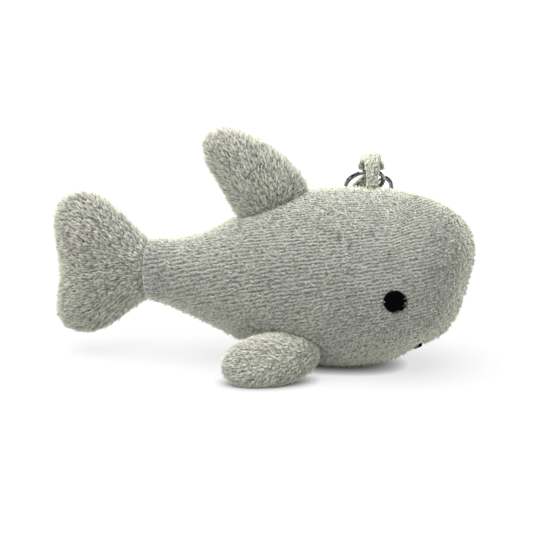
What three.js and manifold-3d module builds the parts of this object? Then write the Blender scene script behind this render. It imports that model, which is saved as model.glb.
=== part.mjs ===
// Plush shark keychain: a stuffed fabric shark with a hanging loop, a ring, a short chain and a key ring.
// Millimetres. +X points to the nose, +Z up, the shark's left side is +Y, and Z = 0 is the table.
// X = 0 is the middle of the length and Y = 0 the plane between the two sides.
import * as THREE from 'three';
import { mergeVertices } from 'three/addons/utils/BufferGeometryUtils.js';
import Module from 'manifold-3d';

const manifoldLibrary = await Module();
manifoldLibrary.setup();

// Fabric and sewing
const FABRIC = 1.2;
const SEAM_GAP = 0.3;
const FLAT_CUT = 0.5;
const THREAD_HEIGHT = 0.8;

// Body, seen from the side: back, nose and belly in one outline from the top of the tail seam
const TAIL_SEAM_X = -33.2;
const HEAD_CORE_X = 39;
const CORE_Z = 25.3;
const BODY_OUTLINE = [
  [-39, 34.2], [TAIL_SEAM_X, 33.7], [-26, 33.8], [-17.6, 35.5], [-9, 39.8], [0, 44.3], [12.5, 49],
  [27.5, 50.4], [38.5, 49.8], [47.1, 47.8], [53.7, 44.6], [58.2, 39.4], [59.4, 33.7], [58, 27.5],
  [55.8, 18.6], [51.5, 10.9], [44.6, 7.4], [39.5, 4], [31, 0.9], [21, -FLAT_CUT], [12, -0.1],
  [4, 2.4], [-4.8, 5.9], [-12.1, 9.3], [-20.8, 13], [-29.5, 16.2], [TAIL_SEAM_X, 16.9], [-39, 17.2],
];
// Half of the body's width at places along its length
const BODY_HALF_WIDTHS = [
  [-39, 5.2], [TAIL_SEAM_X, 5.7], [-21, 7.6], [-7, 11.8], [9, 15.8], [25, 18.2], [HEAD_CORE_X, 18.4],
];
const BACK_RIDGE = 0.3;

// Tail fin
const TAIL_CENTRE = [-46.5, 25.3];
const TAIL_HALF_THICKNESS = 6.4;
const TAIL_OUTLINE = [
  [-27, 30.5], [TAIL_SEAM_X, 33.7], [-40.2, 40.4], [-46, 45.3], [-50.8, 46.9], [-56, 45.3], [-59, 41.4],
  [-59.4, 36], [-58.5, 29], [-58, 23.5], [-58.8, 17.4], [-59.6, 12.2], [-57.5, 7.5], [-50.8, 5.8],
  [-44.6, 8.4], [-38.3, 13.2], [TAIL_SEAM_X, 16.9], [-27, 20],
];

// Dorsal fin
const DORSAL_CENTRE = [-2.5, 52.5];
const DORSAL_HALF_THICKNESS = 4.8;
const DORSAL_OUTLINE = [
  [-3.5, 39], [-7, 43], [-11.6, 51], [-16, 59], [-15.7, 63.3], [-11.5, 65.9], [-6.5, 65.3],
  [-1, 63.1], [3.8, 60.1], [8.4, 56.2], [12.5, 50.4], [12, 44],
];

// Pectoral fins: an egg-shaped pad, its root end sewn to the flank and its outer edge on the table
const PECTORAL_HALF_LENGTH = 13.4;
const PECTORAL_HALF_WIDTH = 7.8;
const PECTORAL_TAPER = 0.12;
const PECTORAL_HALF_THICKNESS = 3.6;
const PECTORAL_CENTRE = [5.8, 19.4];
const PECTORAL_SLOPE = 48;
const PECTORAL_SPLAY = 21;
const PECTORAL_RISE = 8;

const FIN_RIDGE = 0.1;

// How finely the fabric's outside is divided, and the hollow and the stuffing inside it
const OUTSIDE = { stations: 14, noseSpokes: 13, bodySteps: 8, finSpokes: 30, finSteps: 5 };
const INSIDE = { stations: 8, noseSpokes: 7, bodySteps: 5, finSpokes: 18, finSteps: 3 };

// Face
const EYE_RADIUS = 3;
const EYE_PLACE = [39.5, 23.9];
const MOUTH_MIDDLE_X = 44;
const MOUTH_RADIUS = 9;
const MOUTH_HALF_SPAN = 5;
const MOUTH_LINE = 1.4;

// Hanging loop and the ring through it
const WIRE = 1.2;
const WIRE_SIDES = 8;
const RING_DIAMETER = 12;
const RING_STEPS = 40;
const RING_YAW = 24;
const RING_LEAN = 42;
const RING_PIVOT = new THREE.Vector3(29.5, 4.5, 54.6);
const TAPE_THICKNESS = 1.7;
// The tape's width at shares of its length: a narrow front leg, a hood over the ring, a back leg
const TAPE_WIDTHS = [[0, 3.8], [0.36, 3.8], [0.48, 4.9], [0.57, 6.3], [0.67, 5.9], [0.77, 4.4], [1, 3.8]];
const TAPE_SKEW = 1.4;
const LOOP_TOP_RISE = 4.3;
const LOOP_FRONT_REACH = 3.2;
const LOOP_BACK_REACH = 3.7;
const LOOP_FOOT_DEPTH = 9;

// Connecting ring: it stands upright, and enters the first ring from outside at this slope
const CONNECTOR_DIAMETER = 8;
const CONNECTOR_STEPS = 28;
const CONNECTOR_HOOK_TURN = 121.7;
const CONNECTOR_YAW = 47;
const CONNECTOR_SLOPE = -24;

// Chain and key ring
const LINK_COUNT = 2;
const LINK_FLANK_CLEARANCE = 3.9;
const LINK_LENGTH = 8;
const LINK_WIDTH = 5.6;
const LINK_SLACK = 0.3;
const KEY_RING_DIAMETER = 25;
const KEY_RING_WIRE = 1;
const KEY_RING_DEPTH = 1.7;
const KEY_RING_COIL_GAP = 0.42;
const KEY_RING_JOG_TURN = 285;

const degrees = THREE.MathUtils.degToRad;

// Meshes and solids

// A closed mesh from points and triangles, with equal points merged and faces turned outwards
function closedGeometry(points, triangles) {
  const loose = new THREE.BufferGeometry();
  loose.setAttribute('position', new THREE.Float32BufferAttribute(points.flatMap((p) => p.toArray()), 3));
  loose.setIndex(triangles.flat());
  const merged = mergeVertices(loose, 1e-4);
  const kept = [];
  let volume = 0;
  const corner = [new THREE.Vector3(), new THREE.Vector3(), new THREE.Vector3()];
  for (let i = 0; i < merged.index.count; i += 3) {
    const ids = [0, 1, 2].map((k) => merged.index.getX(i + k));
    if (ids[0] === ids[1] || ids[1] === ids[2] || ids[2] === ids[0]) continue;
    ids.forEach((id, k) => corner[k].fromBufferAttribute(merged.attributes.position, id));
    volume += corner[0].dot(corner[1].clone().cross(corner[2]));
    kept.push(ids);
  }
  merged.setIndex(kept.flatMap((ids) => (volume < 0 ? [ids[0], ids[2], ids[1]] : ids)));
  return merged;
}

function toSolid(geometry) {
  const bare = geometry.clone();
  bare.deleteAttribute('normal');
  bare.deleteAttribute('uv');
  const merged = mergeVertices(bare, 1e-4);
  return new manifoldLibrary.Manifold(new manifoldLibrary.Mesh({
    numProp: 3,
    vertProperties: new Float32Array(merged.attributes.position.array),
    triVerts: new Uint32Array(merged.index.array),
  }));
}

function toGeometry(solid) {
  const mesh = solid.getMesh();
  const geometry = new THREE.BufferGeometry();
  geometry.setAttribute('position', new THREE.BufferAttribute(Float32Array.from(mesh.vertProperties), 3));
  geometry.setIndex(Array.from(mesh.triVerts));
  return geometry;
}

// A box from its lowest and highest corners, used only to cut with
function boxGeometry(low, high) {
  const size = high.map((value, i) => value - low[i]);
  const geometry = new THREE.BoxGeometry(...size);
  geometry.translate(...low.map((value, i) => value + size[i] / 2));
  return geometry;
}

const block = (low, high) => toSolid(boxGeometry(low, high));

// A mirrored mesh has its triangles turned over, so that they face out again
function mirrorSafe(geometry, side) {
  if (side > 0) return geometry;
  const index = Array.from(geometry.index.array);
  for (let i = 0; i < index.length; i += 3) [index[i + 1], index[i + 2]] = [index[i + 2], index[i + 1]];
  geometry.setIndex(index);
  return geometry;
}

const FAR = 200;
const aboveTable = block([-FAR, -FAR, 0], [FAR, FAR, FAR]);
const leftHalf = block([-FAR, SEAM_GAP / 2, -FAR], [FAR, FAR, FAR]);
const rightHalf = block([-FAR, -FAR, -FAR], [FAR, -SEAM_GAP / 2, FAR]);

// A skin of rings, each a closed loop of as many points; open ends get a fan, closed rows join up
function ringsGeometry(rings, joined) {
  const count = rings[0].length;
  const points = rings.flat();
  const triangles = [];
  const rows = joined ? rings.length : rings.length - 1;
  for (let i = 0; i < rows; i += 1) {
    const here = i * count;
    const next = ((i + 1) % rings.length) * count;
    for (let j = 0; j < count; j += 1) {
      const k = (j + 1) % count;
      triangles.push([here + j, here + k, next + k], [here + j, next + k, next + j]);
    }
  }
  if (!joined) {
    for (const [start, turned] of [[0, true], [(rings.length - 1) * count, false]]) {
      const middle = new THREE.Vector3();
      for (let j = 0; j < count; j += 1) middle.addScaledVector(points[start + j], 1 / count);
      points.push(middle);
      for (let j = 0; j < count; j += 1) {
        const k = (j + 1) % count;
        const [a, b] = turned ? [k, j] : [j, k];
        triangles.push([start + a, start + b, points.length - 1]);
      }
    }
  }
  return closedGeometry(points, triangles);
}

// Stuffed forms

function smoothLoop(corners) {
  const places = corners.map(([x, z]) => new THREE.Vector3(x, 0, z));
  return new THREE.CatmullRomCurve3(places, true, 'centripetal').getPoints(corners.length * 16);
}

function smoothValue(pairs, at) {
  const curve = new THREE.SplineCurve(pairs.map(([x, value]) => new THREE.Vector2(x, value)));
  const samples = curve.getPoints(pairs.length * 12);
  const after = samples.findIndex((sample) => sample.x >= at);
  if (after <= 0) return after === 0 ? samples[0].y : samples[samples.length - 1].y;
  const [a, b] = [samples[after - 1], samples[after]];
  return THREE.MathUtils.mapLinear(at, a.x, b.x, a.y, b.y);
}

// How far the outline lies from a core point in one direction of the side view
function reach(outline, core, direction) {
  let best = 0;
  for (let i = 0; i < outline.length - 1; i += 1) {
    const [ax, az] = [outline[i].x - core[0], outline[i].z - core[1]];
    const [bx, bz] = [outline[i + 1].x - core[0], outline[i + 1].z - core[1]];
    const sideA = direction[0] * az - direction[1] * ax;
    const sideB = direction[0] * bz - direction[1] * bx;
    if (sideA === sideB || sideA * sideB > 0) continue;
    const share = sideA / (sideA - sideB);
    const along = direction[0] * (ax + (bx - ax) * share) + direction[1] * (az + (bz - az) * share);
    best = Math.max(best, along);
  }
  return best;
}

// A spoke runs from the core out to the outline; the form swells from the outline to its half width
function spokeRow(spoke, steps) {
  const row = [];
  for (let j = -steps; j <= steps; j += 1) {
    const turn = (j / steps) * (Math.PI / 2);
    const out = spoke.length * Math.cos(turn);
    const swell = Math.sign(j) * spoke.half * Math.abs(Math.sin(turn)) ** (1 + spoke.ridge);
    row.push(new THREE.Vector3(
      spoke.core[0] + spoke.direction[0] * out,
      swell,
      spoke.core[1] + spoke.direction[1] * out,
    ));
  }
  return row;
}

function makeSpoke(outline, core, angle, half, ridge, grow) {
  const direction = [Math.cos(angle), Math.sin(angle)];
  return { core, direction, length: reach(outline, core, direction) + grow, half: half + grow, ridge };
}

const bodyOutline = smoothLoop(BODY_OUTLINE);

// Anything inside the fabric is divided more coarsely than its outside
const divisions = (grow) => (grow < 0 ? INSIDE : OUTSIDE);

// The back is a little sharper than the belly, where the two side panels meet
function bodySpoke(x, angle, grow) {
  const ridge = BACK_RIDGE * Math.max(0, Math.sin(angle));
  return makeSpoke(bodyOutline, [x, CORE_Z], angle, smoothValue(BODY_HALF_WIDTHS, x), ridge, grow);
}

// The body's spokes run along the back, round the nose and back along the belly
function bodySpokes(grow, rearX) {
  const { stations, noseSpokes } = divisions(grow);
  const places = [];
  for (let i = 0; i < stations; i += 1) {
    places.push(THREE.MathUtils.lerp(rearX, HEAD_CORE_X, i / (stations - 1)));
  }
  const back = places.map((x) => bodySpoke(x, Math.PI / 2, grow));
  const nose = [];
  for (let i = 1; i < noseSpokes; i += 1) {
    nose.push(bodySpoke(HEAD_CORE_X, Math.PI * (0.5 - i / noseSpokes), grow));
  }
  const belly = places.map((x) => bodySpoke(x, -Math.PI / 2, grow)).reverse();
  return [...back, ...nose, ...belly];
}

function bodyGeometry(grow, rearX) {
  const rows = bodySpokes(grow, rearX).map((spoke) => spokeRow(spoke, divisions(grow).bodySteps));
  const width = rows[0].length;
  const points = rows.flat();
  const triangles = [];
  for (let i = 0; i < rows.length - 1; i += 1) {
    for (let j = 0; j < width - 1; j += 1) {
      const here = i * width + j;
      const next = here + width;
      triangles.push([here, here + 1, next + 1], [here, next + 1, next]);
    }
  }
  const rearTop = [...rows[0].keys()];
  const rim = rearTop.concat(rearTop.toReversed().map((j) => (rows.length - 1) * width + j));
  points.push(new THREE.Vector3(rearX, 0, CORE_Z));
  rim.forEach((id, k) => triangles.push([rim[(k + 1) % rim.length], id, points.length - 1]));
  return closedGeometry(points, triangles);
}

// A fin is a pad whose spokes all start at one core point
function padGeometry(outline, core, half, grow) {
  const { finSpokes, finSteps } = divisions(grow);
  const rows = [];
  for (let i = 0; i < finSpokes; i += 1) {
    const angle = (i / finSpokes) * Math.PI * 2;
    rows.push(spokeRow(makeSpoke(outline, core, angle, half, FIN_RIDGE, grow), finSteps));
  }
  const width = rows[0].length;
  const triangles = [];
  for (let i = 0; i < rows.length; i += 1) {
    for (let j = 0; j < width - 1; j += 1) {
      const here = i * width + j;
      const next = ((i + 1) % rows.length) * width + j;
      triangles.push([here, here + 1, next + 1], [here, next + 1, next]);
    }
  }
  return closedGeometry(rows.flat(), triangles);
}

// A sewn form has two fabric panels that meet at the outline, and the stuffing inside them
function sewnForm(solidAt, trim, divide) {
  const skin = trim(solidAt(0), 0).subtract(trim(solidAt(-FABRIC), -SEAM_GAP * 4));
  const filling = trim(solidAt(-FABRIC - SEAM_GAP), SEAM_GAP);
  return { left: skin.intersect(divide.left), right: skin.intersect(divide.right), filling };
}

const flatHalves = { left: leftHalf, right: rightHalf };
const bodyEnvelope = toSolid(bodyGeometry(SEAM_GAP, TAIL_SEAM_X));

function buildBody() {
  const openEnd = 3;
  const skin = toSolid(bodyGeometry(0, TAIL_SEAM_X)).intersect(aboveTable);
  const hollow = toSolid(bodyGeometry(-FABRIC, TAIL_SEAM_X - openEnd));
  const filling = toSolid(bodyGeometry(-FABRIC - SEAM_GAP, TAIL_SEAM_X - openEnd))
    .intersect(block([TAIL_SEAM_X, -FAR, -FAR], [FAR, FAR, FAR]));
  const shell = skin.subtract(hollow);
  return { left: shell.intersect(leftHalf), right: shell.intersect(rightHalf), filling };
}

function buildTail() {
  const outline = smoothLoop(TAIL_OUTLINE);
  const solidAt = (grow) => toSolid(padGeometry(outline, TAIL_CENTRE, TAIL_HALF_THICKNESS, grow));
  const behindSeam = (solid, back) => solid.intersect(
    block([-FAR, -FAR, -FAR], [TAIL_SEAM_X - SEAM_GAP - back, FAR, FAR]),
  );
  return sewnForm(solidAt, behindSeam, flatHalves);
}

// The body with some room round it is taken out of what is sewn to it
function offBody(solid, back) {
  return solid.subtract(toSolid(bodyGeometry(Math.max(0, SEAM_GAP + back), TAIL_SEAM_X)));
}

function buildDorsal() {
  const outline = smoothLoop(DORSAL_OUTLINE);
  const solidAt = (grow) => toSolid(padGeometry(outline, DORSAL_CENTRE, DORSAL_HALF_THICKNESS, grow));
  return sewnForm(solidAt, offBody, flatHalves);
}

// The pad's own frame has X towards the root, Z across it and Y through it. The pad is lowered until
// its edge reaches just below the table, where it is cut flat
function pectoralPlace(side, pad) {
  const turn = new THREE.Matrix4().makeRotationZ(degrees(-PECTORAL_SPLAY))
    .multiply(new THREE.Matrix4().makeRotationY(degrees(-PECTORAL_RISE)))
    .multiply(new THREE.Matrix4().makeRotationX(degrees(PECTORAL_SLOPE)));
  const turned = pad.clone().applyMatrix4(turn);
  turned.computeBoundingBox();
  const height = -FLAT_CUT - turned.boundingBox.min.z;
  return new THREE.Matrix4().makeScale(1, side, 1)
    .multiply(new THREE.Matrix4().makeTranslation(...PECTORAL_CENTRE, height))
    .multiply(turn);
}

function pectoralOutline() {
  const outline = [];
  const samples = 96;
  for (let i = 0; i <= samples; i += 1) {
    const angle = (i / samples) * Math.PI * 2;
    const width = PECTORAL_HALF_WIDTH * (1 - PECTORAL_TAPER * Math.cos(angle));
    outline.push(new THREE.Vector3(PECTORAL_HALF_LENGTH * Math.cos(angle), 0, width * Math.sin(angle)));
  }
  return outline;
}

function buildPectoral(side) {
  const outline = pectoralOutline();
  const padAt = (grow) => padGeometry(outline, [0, 0], PECTORAL_HALF_THICKNESS, grow);
  const place = pectoralPlace(side, padAt(0));
  const placed = (geometry) => toSolid(mirrorSafe(geometry.applyMatrix4(place), side));
  const divide = {
    left: placed(boxGeometry([-FAR, SEAM_GAP / 2, -FAR], [FAR, FAR, FAR])),
    right: placed(boxGeometry([-FAR, -FAR, -FAR], [FAR, -SEAM_GAP / 2, FAR])),
  };
  const trim = (solid, back) => offBody(back < 0 ? solid : solid.intersect(aboveTable), back);
  const form = sewnForm((grow) => placed(padAt(grow)), trim, divide);
  return { upper: form.left, lower: form.right, filling: form.filling };
}

// Embroidery lies on the fabric: a tool's shape, cut out of a thin layer over the body

const threadLayer = toSolid(bodyGeometry(SEAM_GAP + THREAD_HEIGHT, TAIL_SEAM_X)).subtract(bodyEnvelope);

function buildEye(side) {
  const punch = new THREE.CylinderGeometry(EYE_RADIUS, EYE_RADIUS, HEAD_CORE_X, 28);
  punch.translate(EYE_PLACE[0], side * HEAD_CORE_X / 2, EYE_PLACE[1]);
  return toGeometry(threadLayer.intersect(toSolid(punch)));
}

function buildMouth() {
  const half = Math.asin(MOUTH_HALF_SPAN / MOUTH_RADIUS);
  const centreX = MOUTH_MIDDLE_X + MOUTH_RADIUS;
  const band = new THREE.Shape();
  band.absarc(centreX, 0, MOUTH_RADIUS + MOUTH_LINE / 2, Math.PI - half, Math.PI + half, false);
  band.absarc(centreX, 0, MOUTH_RADIUS - MOUTH_LINE / 2, Math.PI + half, Math.PI - half, true);
  band.closePath();
  const punch = new THREE.ExtrudeGeometry(band, { depth: CORE_Z, bevelEnabled: false, curveSegments: 14 });
  punch.translate(0, 0, -FLAT_CUT);
  return toGeometry(threadLayer.intersect(toSolid(punch)));
}

// Hardware

const up = new THREE.Vector3(0, 0, 1);
const across = new THREE.Vector3(1, 0, 0).applyAxisAngle(up, degrees(RING_YAW));
const inward = up.clone().cross(across);

// The tape's line: up the front leg, over with its hood pulled a little aside, and down the back leg
function tapeLine() {
  const [front, back, top, foot] = [-LOOP_FRONT_REACH, LOOP_BACK_REACH, LOOP_TOP_RISE, -LOOP_FOOT_DEPTH];
  const places = [
    [front, foot, 0], [front, foot / 2, 0], [front, 0, 0], [front * 0.8, top * 0.75, 0],
    [0, top, TAPE_SKEW / 2], [back * 0.8, top * 0.7, TAPE_SKEW], [back, 0, TAPE_SKEW * 0.7],
    [back, foot / 2, 0], [back, foot, 0],
  ];
  return new THREE.CatmullRomCurve3(places.map(([backwards, height, aside]) => RING_PIVOT.clone()
    .addScaledVector(inward, backwards).addScaledVector(up, height).addScaledVector(across, aside)));
}

function buildLoop() {
  const line = tapeLine();
  const steps = 26;
  const rings = [];
  for (let i = 0; i <= steps; i += 1) {
    const share = i / steps;
    const centre = line.getPointAt(share);
    const outwards = line.getTangentAt(share).clone().cross(across).normalize();
    const width = smoothValue(TAPE_WIDTHS, share);
    const ring = [];
    for (let j = 0; j < 12; j += 1) {
      const angle = (j / 12) * Math.PI * 2;
      const side = Math.sign(Math.cos(angle)) * Math.abs(Math.cos(angle)) ** 0.6;
      const face = Math.sign(Math.sin(angle)) * Math.abs(Math.sin(angle)) ** 0.6;
      ring.push(centre.clone().addScaledVector(across, side * width / 2)
        .addScaledVector(outwards, face * TAPE_THICKNESS / 2));
    }
    rings.push(ring);
  }
  return toGeometry(toSolid(ringsGeometry(rings, false)).subtract(bodyEnvelope));
}

const ringRadius = (RING_DIAMETER - WIRE) / 2;
const downLean = inward.clone().multiplyScalar(Math.sin(degrees(RING_LEAN)))
  .addScaledVector(up, -Math.cos(degrees(RING_LEAN)));
const ringCentre = RING_PIVOT.clone().addScaledVector(downLean, ringRadius);

function ringWirePoint(angle) {
  return ringCentre.clone()
    .addScaledVector(across, ringRadius * Math.sin(degrees(angle)))
    .addScaledVector(downLean, -ringRadius * Math.cos(degrees(angle)));
}

function ringWireTangent(angle) {
  return across.clone().multiplyScalar(Math.cos(degrees(angle)))
    .addScaledVector(downLean, Math.sin(degrees(angle)));
}

// A rounded section of wire, round or flat, about a point of its centre line
function wireSection(centre, out, side, outSize, sideSize) {
  const section = [];
  for (let j = 0; j < WIRE_SIDES; j += 1) {
    const angle = ((j + 0.5) / WIRE_SIDES) * Math.PI * 2;
    const reachOut = (Math.cos(angle) * outSize) / 2 / Math.cos(Math.PI / WIRE_SIDES);
    const reachSide = (Math.sin(angle) * sideSize) / 2 / Math.cos(Math.PI / WIRE_SIDES);
    section.push(centre.clone().addScaledVector(out, reachOut).addScaledVector(side, reachSide));
  }
  return section;
}

const halfStraight = (LINK_LENGTH - LINK_WIDTH) / 2;
const linkBend = (LINK_WIDTH - WIRE) / 2;

// A chain link in its own frame: two bends and two straights in the XY plane, longest along X
function linkGeometry() {
  const bendSteps = 8;
  const sections = [];
  for (const end of [1, -1]) {
    for (let i = 0; i <= bendSteps; i += 1) {
      const angle = (i / bendSteps - 0.5) * Math.PI;
      const out = new THREE.Vector3(end * Math.cos(angle), end * Math.sin(angle), 0);
      const centre = new THREE.Vector3(end * halfStraight, 0, 0).addScaledVector(out, linkBend);
      sections.push(wireSection(centre, out, up, WIRE, WIRE));
    }
  }
  return ringsGeometry(sections, true);
}

// Where the wire of one link passes through the next: distances from a link's own centre
const ownWire = LINK_LENGTH / 2 - WIRE / 2;
const otherWire = LINK_LENGTH / 2 - WIRE - LINK_SLACK - WIRE / 2;
const linkReach = ownWire + otherWire;

const coilPitch = KEY_RING_WIRE + KEY_RING_COIL_GAP;
const keyRingHalfDepth = (coilPitch + KEY_RING_WIRE) / 2;
const widest = smoothValue(BODY_HALF_WIDTHS, HEAD_CORE_X);

// The flank's section at a place along the body, kept a clearance away from the fabric
function flankY(x, z, clearance) {
  const spoke = bodySpoke(x, Math.PI / 2, clearance);
  const rise = THREE.MathUtils.clamp((z - CORE_Z) / spoke.length, 0, 1);
  return spoke.half * Math.sin(Math.acos(rise)) ** (1 + spoke.ridge);
}

const hook = ringWirePoint(CONNECTOR_HOOK_TURN);
const connectorRadius = (CONNECTOR_DIAMETER - WIRE) / 2;
const connectorAcross = new THREE.Vector3(1, 0, 0).applyAxisAngle(up, degrees(CONNECTOR_YAW));
const connectorEntry = connectorAcross.clone().multiplyScalar(Math.cos(degrees(CONNECTOR_SLOPE)))
  .addScaledVector(up, Math.sin(degrees(CONNECTOR_SLOPE)));
const connectorCentre = hook.clone().addScaledVector(connectorEntry, connectorRadius - WIRE - LINK_SLACK);

// From the connecting ring down, each link turns a little further towards the flank's own direction
function outwardAt(i) {
  const yaw = THREE.MathUtils.lerp(CONNECTOR_YAW, 90, (i + 1) / (LINK_COUNT + 1));
  return new THREE.Vector3(1, 0, 0).applyAxisAngle(up, degrees(yaw));
}

// A direction that leans outwards from straight down
const leaning = (outward, lean) => outward.clone().multiplyScalar(Math.sin(lean))
  .addScaledVector(up, -Math.cos(lean));

// Each link hangs as steeply as the flank lets it, with its far end kept clear of the fabric
function hangLink(i, wireAbove) {
  let lean = 0;
  let link = {};
  do {
    const from = wireAbove(lean);
    const heading = leaning(outwardAt(i), lean);
    link = { from, heading, tip: from.clone().addScaledVector(heading, linkReach) };
    lean += degrees(1);
  } while (lean < Math.PI / 2 && link.tip.y < flankY(link.tip.x, link.tip.z, LINK_FLANK_CLEARANCE));
  return link;
}

// The first link slides along the round connecting ring to where it pulls, the others hang from an end
const links = [hangLink(0, (lean) => connectorCentre.clone()
  .addScaledVector(leaning(connectorAcross, lean), connectorRadius))];
for (let i = 1; i < LINK_COUNT; i += 1) links.push(hangLink(i, () => links[i - 1].tip));

// The last link stands on its edge, and each one above it is a quarter turn away from the next.
// A link on its edge swings on the wire above it, a flat one on its own
function placeLink(i) {
  const { from, heading } = links[i];
  const level = outwardAt(i).cross(up);
  const onEdge = (LINK_COUNT - i) % 2 === 1;
  const flat = onEdge ? level : heading.clone().cross(level);
  const side = flat.clone().cross(heading);
  const centre = from.clone().addScaledVector(heading, otherWire);
  const pivot = onEdge ? from : centre.clone().addScaledVector(heading, -ownWire);
  const matrix = new THREE.Matrix4().makeBasis(heading, side, flat).setPosition(centre);
  return { matrix, pivot, axis: level };
}

function keyRingSeat() {
  const hole = linkBend - WIRE / 2;
  const lowEdge = halfStraight + Math.sqrt(hole ** 2 - keyRingHalfDepth ** 2) - LINK_SLACK;
  return lowEdge - KEY_RING_DEPTH / 2;
}

// Two coils side by side, joined by a short jog; both ends stop beside the jog
function keyRingGeometry() {
  const radius = (KEY_RING_DIAMETER - KEY_RING_DEPTH) / 2;
  const jog = 18;
  const endClearance = 5;
  const steps = 66;
  const sections = [];
  for (let i = 0; i <= steps; i += 1) {
    const turn = THREE.MathUtils.lerp(jog + endClearance, 720 - jog - endClearance, i / steps);
    const layer = THREE.MathUtils.smoothstep(turn, 360 - jog, 360 + jog) - 0.5;
    const angle = degrees(turn + KEY_RING_JOG_TURN);
    const out = new THREE.Vector3(Math.cos(angle), 0, Math.sin(angle));
    const centre = out.clone().multiplyScalar(radius).setY(layer * coilPitch);
    sections.push(wireSection(centre, out, new THREE.Vector3(0, 1, 0), KEY_RING_DEPTH, KEY_RING_WIRE));
  }
  const geometry = ringsGeometry(sections, false);
  geometry.translate(0, 0, -radius);
  return geometry;
}

const shark = new THREE.Group();

function addPiece(name, geometry, look) {
  const mesh = new THREE.Mesh(geometry, new THREE.MeshStandardMaterial(look));
  mesh.name = name;
  shark.add(mesh);
  return mesh;
}

const fabric = { color: 0x9c9d96, roughness: 0.95, metalness: 0 };
const stuffing = { color: 0xf1efe8, roughness: 1, metalness: 0 };
const thread = { color: 0x0e0f12, roughness: 0.7, metalness: 0 };
const metal = { color: 0x4a4a50, roughness: 0.25, metalness: 1 };

const body = buildBody();
addPiece('body_panel_left', toGeometry(body.left), fabric);
addPiece('body_panel_right', toGeometry(body.right), fabric);
addPiece('body_stuffing', toGeometry(body.filling), stuffing);
const tail = buildTail();
addPiece('tail_panel_left', toGeometry(tail.left), fabric);
addPiece('tail_panel_right', toGeometry(tail.right), fabric);
addPiece('tail_stuffing', toGeometry(tail.filling), stuffing);
const dorsal = buildDorsal();
addPiece('dorsal_fin_panel_left', toGeometry(dorsal.left), fabric);
addPiece('dorsal_fin_panel_right', toGeometry(dorsal.right), fabric);
addPiece('dorsal_fin_stuffing', toGeometry(dorsal.filling), stuffing);
for (const [name, side] of [['left', 1], ['right', -1]]) {
  const fin = buildPectoral(side);
  addPiece(`pectoral_fin_${name}_upper_panel`, toGeometry(fin.upper), fabric);
  addPiece(`pectoral_fin_${name}_lower_panel`, toGeometry(fin.lower), fabric);
  addPiece(`pectoral_fin_${name}_stuffing`, toGeometry(fin.filling), stuffing);
  addPiece(`eye_${name}`, buildEye(side), thread);
}
addPiece('mouth_stitch', buildMouth(), thread);
addPiece('hanging_loop', buildLoop(), fabric);

// A ring of wire with its X and Y across its face
function addRing(name, radius, steps, [x, y], centre) {
  const ring = addPiece(name, new THREE.TorusGeometry(radius, WIRE / 2, WIRE_SIDES, steps), metal);
  ring.matrixAutoUpdate = false;
  ring.matrix.makeBasis(x, y, x.clone().cross(y)).setPosition(centre);
  return ring;
}

const loopRing = addRing('loop_ring', ringRadius, RING_STEPS, [across, downLean], ringCentre);
loopRing.userData.swing = { pivot: RING_PIVOT, axis: across };
const connectorPlace = [[connectorAcross, up], connectorCentre];
const connector = addRing('connecting_ring', connectorRadius, CONNECTOR_STEPS, ...connectorPlace);
connector.userData.swing = { pivot: hook, axis: ringWireTangent(CONNECTOR_HOOK_TURN).negate() };

for (let i = 0; i < LINK_COUNT; i += 1) {
  const place = placeLink(i);
  const link = addPiece(`chain_link_${i + 1}`, linkGeometry(), metal);
  link.matrixAutoUpdate = false;
  link.matrix.copy(place.matrix);
  link.userData.swing = { pivot: place.pivot, axis: place.axis };
}

const lastLink = links[LINK_COUNT - 1];
const keyRingTop = lastLink.from.clone().addScaledVector(lastLink.heading, otherWire + keyRingSeat());
const keyRing = addPiece('key_ring', keyRingGeometry(), metal);
const restY = widest + SEAM_GAP + keyRingHalfDepth;
keyRing.position.copy(keyRingTop);
keyRing.rotation.x = Math.max(0, Math.atan2(restY - keyRingTop.y, keyRingTop.z - CORE_Z));
keyRing.userData.swing = { pivot: keyRingTop, axis: new THREE.Vector3(1, 0, 0) };

export default shark;
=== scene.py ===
"""Looks for the plush shark keychain: looped pile on stuffed forms, stitched face, wire rings and a chain."""
import itertools
import math

import bmesh
import bpy
import numpy as np
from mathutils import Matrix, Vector
from mathutils.kdtree import KDTree


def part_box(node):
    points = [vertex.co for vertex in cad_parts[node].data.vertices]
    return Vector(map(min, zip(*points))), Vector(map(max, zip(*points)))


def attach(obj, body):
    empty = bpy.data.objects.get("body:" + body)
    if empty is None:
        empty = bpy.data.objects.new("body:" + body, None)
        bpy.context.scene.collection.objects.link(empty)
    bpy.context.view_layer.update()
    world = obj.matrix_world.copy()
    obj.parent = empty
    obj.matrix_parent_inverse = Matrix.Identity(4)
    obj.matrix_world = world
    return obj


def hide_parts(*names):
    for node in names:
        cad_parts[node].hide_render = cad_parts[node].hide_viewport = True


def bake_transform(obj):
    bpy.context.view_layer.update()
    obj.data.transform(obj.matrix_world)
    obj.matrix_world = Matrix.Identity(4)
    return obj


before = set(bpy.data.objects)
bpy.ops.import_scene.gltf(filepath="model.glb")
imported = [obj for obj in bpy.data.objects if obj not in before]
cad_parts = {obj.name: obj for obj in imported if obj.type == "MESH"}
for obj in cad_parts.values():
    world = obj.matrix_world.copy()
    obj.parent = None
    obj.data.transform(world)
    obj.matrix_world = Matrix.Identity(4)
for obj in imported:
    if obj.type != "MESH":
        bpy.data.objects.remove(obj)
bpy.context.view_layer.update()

MM = 0.001
SAME_POINT = 1e-6

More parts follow.
